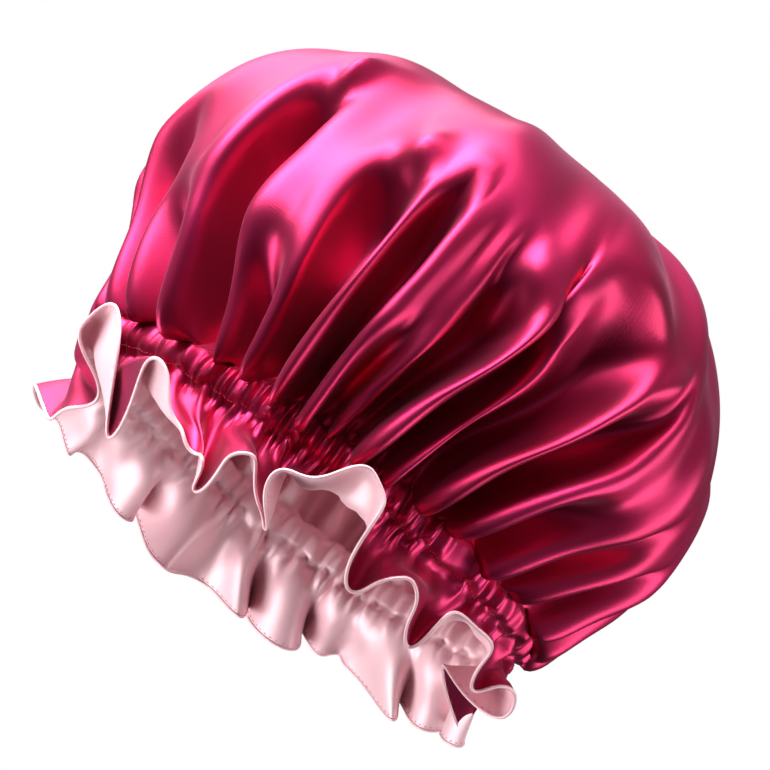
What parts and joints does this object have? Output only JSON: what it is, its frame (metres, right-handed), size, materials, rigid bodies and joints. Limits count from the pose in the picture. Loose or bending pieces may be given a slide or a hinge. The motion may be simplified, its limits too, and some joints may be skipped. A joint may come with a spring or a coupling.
{
  "type": "sleep bonnet",
  "caption": "Reversible double-layer satin sleep bonnet with a puffed gathered crown, a hidden elastic casing and a wide ruffle, held open as on a head.",
  "frame": {"origin": "middle of the oval head opening, at half the height of the elastic", "axes": "+Z out of the opening towards the top of the crown, +X along the opening's long axis, -Y the side that the picture shows"},
  "size_m": [0.2487, 0.2333, 0.1976],
  "materials": {
    "outer_satin": "glossy satin",
    "lining_satin": "glossy satin",
    "elastic": "woven elastic"
  },
  "bodies": {
    "root": {"outer_satin": "outer_satin", "lining_satin": "lining_satin", "elastic": "elastic"}
  },
  "joints": []
}
